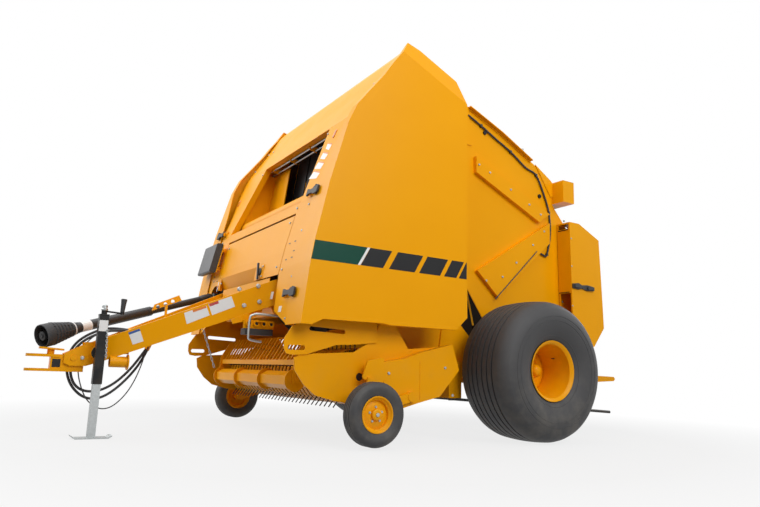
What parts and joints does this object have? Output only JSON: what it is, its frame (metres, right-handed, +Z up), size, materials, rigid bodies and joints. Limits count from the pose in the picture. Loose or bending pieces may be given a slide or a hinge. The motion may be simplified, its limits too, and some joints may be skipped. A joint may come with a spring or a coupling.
{
  "type": "round baler",
  "caption": "Towed round baler with a wide tine pickup, belt bale chamber, hydraulic tailgate, net wrap bay, shaft driveline, hitch clevis, parking jack and rear bale ramp",
  "frame": {"origin": "on the ground below the middle of the whole machine's box", "axes": "+X to the machine's left, +Y to its rear, +Z up; the tongue points along -Y"},
  "size_m": [2.8754, 4.935, 2.884],
  "materials": {
    "belt_rubber": "matte",
    "black_paint": "satin",
    "chrome_rod": "polished",
    "guard_plastic": "matte",
    "hose_rubber": "matte",
    "tyre_rubber": "matte",
    "yellow_paint": "satin",
    "zinc_plate": "satin"
  },
  "bodies": {
    "chassis": {"main_frame": "yellow_paint", "cross_beam": "yellow_paint", "side_wall_left": "yellow_paint", "side_wall_right": "yellow_paint", "front_rollers": "black_paint", "front_belts": "belt_rubber", "front_pillar_left": "yellow_paint", "front_pillar_right": "yellow_paint", "front_sill": "yellow_paint", "lower_panel": "yellow_paint", "hood": "yellow_paint", "net_box": "yellow_paint", "tongue": "yellow_paint", "hitch_clevis": "yellow_paint", "jack_tube": "black_paint", "gearbox": "black_paint", "manual_box": "guard_plastic", "hose_upper": "hose_rubber", "hose_lower": "hose_rubber", "light_cable": "hose_rubber"},
    "wheel_left": {"main_tyre_left": "tyre_rubber", "main_rim_left": "yellow_paint"},
    "wheel_right": {"main_tyre_right": "tyre_rubber", "main_rim_right": "yellow_paint"},
    "pickup": {"pickup_frame": "yellow_paint", "stripper_bands": "yellow_paint", "pickup_cover_left": "yellow_paint", "pickup_cover_right": "yellow_paint", "gauge_arm_left": "yellow_paint", "gauge_arm_right": "yellow_paint"},
    "reel": {"pickup_reel": "black_paint"},
    "gauge_wheel_left": {"gauge_tyre_left": "tyre_rubber", "gauge_rim_left": "yellow_paint"},
    "gauge_wheel_right": {"gauge_tyre_right": "tyre_rubber", "gauge_rim_right": "yellow_paint"},
    "windguard_frame": {"windguard": "yellow_paint", "guard_fingers": "yellow_paint"},
    "guard_roller": {"windguard_roller": "yellow_paint"},
    "tailgate": {"tailgate_side_left": "yellow_paint", "tailgate_side_right": "yellow_paint", "tailgate_rollers": "black_paint", "tailgate_belts": "belt_rubber", "tailgate_beam": "yellow_paint"},
    "barrel_left": {"cylinder_left": "yellow_paint"},
    "barrel_right": {"cylinder_right": "yellow_paint"},
    "rod_left": {"cylinder_rod_left": "chrome_rod"},
    "rod_right": {"cylinder_rod_right": "chrome_rod"},
    "pod_left": {"rear_pod_left": "yellow_paint"},
    "pod_right": {"rear_pod_right": "yellow_paint"},
    "shield_left": {"side_shield_left": "yellow_paint"},
    "shield_right": {"side_shield_right": "yellow_paint"},
    "door": {"front_door": "yellow_paint"},
    "net_drive": {"net_roller": "yellow_paint"},
    "jack_foot": {"jack_leg": "zinc_plate"},
    "shaft_rear": {"driveline_rear": "guard_plastic"},
    "shaft_front": {"driveline_front": "guard_plastic"},
    "ramp": {"bale_ramp": "yellow_paint", "ramp_rods": "black_paint"}
  },
  "joints": [
    {"name": "main_wheel_left", "type": "hinge", "parent": "chassis", "child": "wheel_left", "pos_m": [1.164, 0.8765, 0.525], "axis": [1, 0, 0], "continuous": true},
    {"name": "main_wheel_right", "type": "hinge", "parent": "chassis", "child": "wheel_right", "pos_m": [-1.164, 0.8765, 0.525], "axis": [1, 0, 0], "continuous": true},
    {"name": "pickup_lift", "type": "hinge", "parent": "chassis", "child": "pickup", "pos_m": [0, 0.1565, 0.59], "axis": [-1, 0, 0], "range_deg": [0, 7]},
    {"name": "pickup_reel_spin", "type": "hinge", "parent": "pickup", "child": "reel", "pos_m": [0, -0.5735, 0.44], "axis": [1, 0, 0], "continuous": true},
    {"name": "gauge_wheel_left_spin", "type": "hinge", "parent": "pickup", "child": "gauge_wheel_left", "pos_m": [1.24, -0.5785, 0.213], "axis": [1, 0, 0], "continuous": true},
    {"name": "gauge_wheel_right_spin", "type": "hinge", "parent": "pickup", "child": "gauge_wheel_right", "pos_m": [-1.24, -0.5785, 0.213], "axis": [1, 0, 0], "continuous": true},
    {"name": "windguard_lift", "type": "hinge", "parent": "pickup", "child": "windguard_frame", "pos_m": [0, -0.3635, 0.77], "axis": [-1, 0, 0], "range_deg": [0, 6]},
    {"name": "windguard_roller_spin", "type": "hinge", "parent": "windguard_frame", "child": "guard_roller", "pos_m": [0, -0.9035, 0.402], "axis": [1, 0, 0], "continuous": true},
    {"name": "tailgate_lift", "type": "hinge", "parent": "chassis", "child": "tailgate", "pos_m": [0, -0.0235, 2.5], "axis": [1, 0, 0], "range_deg": [0, 60]},
    {"name": "cylinder_left_swing", "type": "hinge", "parent": "chassis", "child": "barrel_left", "pos_m": [0.848, 0.3965, 0.975], "axis": [1, 0, 0], "range_deg": [-1.87, 0]},
    {"name": "cylinder_left_stroke", "type": "slide", "parent": "barrel_left", "child": "rod_left", "axis": [0, -0.1173, 0.9931], "range_m": [0, 0.3099]},
    {"name": "cylinder_right_swing", "type": "hinge", "parent": "chassis", "child": "barrel_right", "pos_m": [-0.848, 0.3965, 0.975], "axis": [1, 0, 0], "range_deg": [-1.87, 0]},
    {"name": "cylinder_right_stroke", "type": "slide", "parent": "barrel_right", "child": "rod_right", "axis": [0, -0.1173, 0.9931], "range_m": [0, 0.3099]},
    {"name": "rear_pod_left_door", "type": "hinge", "parent": "tailgate", "child": "pod_left", "pos_m": [0.812, 2.0265, 1.3], "axis": [0, 0, 1], "range_deg": [0, 90]},
    {"name": "rear_pod_right_door", "type": "hinge", "parent": "tailgate", "child": "pod_right", "pos_m": [-0.812, 2.0265, 1.3], "axis": [0, 0, -1], "range_deg": [0, 90]},
    {"name": "side_shield_left_door", "type": "hinge", "parent": "chassis", "child": "shield_left", "pos_m": [1.14, 0.2005, 1.5], "axis": [0, 0, 1], "range_deg": [0, 90]},
    {"name": "side_shield_right_door", "type": "hinge", "parent": "chassis", "child": "shield_right", "pos_m": [-1.14, 0.2005, 1.5], "axis": [0, 0, -1], "range_deg": [0, 90]},
    {"name": "front_door_hatch", "type": "hinge", "parent": "chassis", "child": "door", "pos_m": [0, -0.93108, 1.536], "axis": [-1, 0, 0], "range_deg": [0, 75]},
    {"name": "net_roller_spin", "type": "hinge", "parent": "chassis", "child": "net_drive", "pos_m": [0, -0.7785, 1.705], "axis": [1, 0, 0], "continuous": true},
    {"name": "jack_leg_slide", "type": "slide", "parent": "chassis", "child": "jack_foot", "axis": [0, 0, 1], "range_m": [0, 0.15]},
    {"name": "driveline_lift", "type": "hinge", "parent": "chassis", "child": "shaft_rear", "pos_m": [-0.734, -1.0755, 1.067], "axis": [-0.8726, -0.4885, 0], "range_deg": [0, 20]},
    {"name": "driveline_slide", "type": "slide", "parent": "shaft_rear", "child": "shaft_front", "axis": [0.4696, -0.8387, -0.2757], "range_m": [0, 0.2]},
    {"name": "bale_ramp_tip", "type": "hinge", "parent": "chassis", "child": "ramp", "pos_m": [0, 0.9665, 0.43], "axis": [-1, 0, 0], "range_deg": [0, 6]}
  ],
  "couplings": [
    {"joint": "cylinder_left_swing", "follows": "tailgate_lift", "ratio": -0.030561},
    {"joint": "cylinder_right_swing", "follows": "tailgate_lift", "ratio": -0.030561},
    {"joint": "cylinder_left_stroke", "follows": "tailgate_lift", "m_per_rad": 0.29303},
    {"joint": "cylinder_right_stroke", "follows": "tailgate_lift", "m_per_rad": 0.29303}
  ]
}
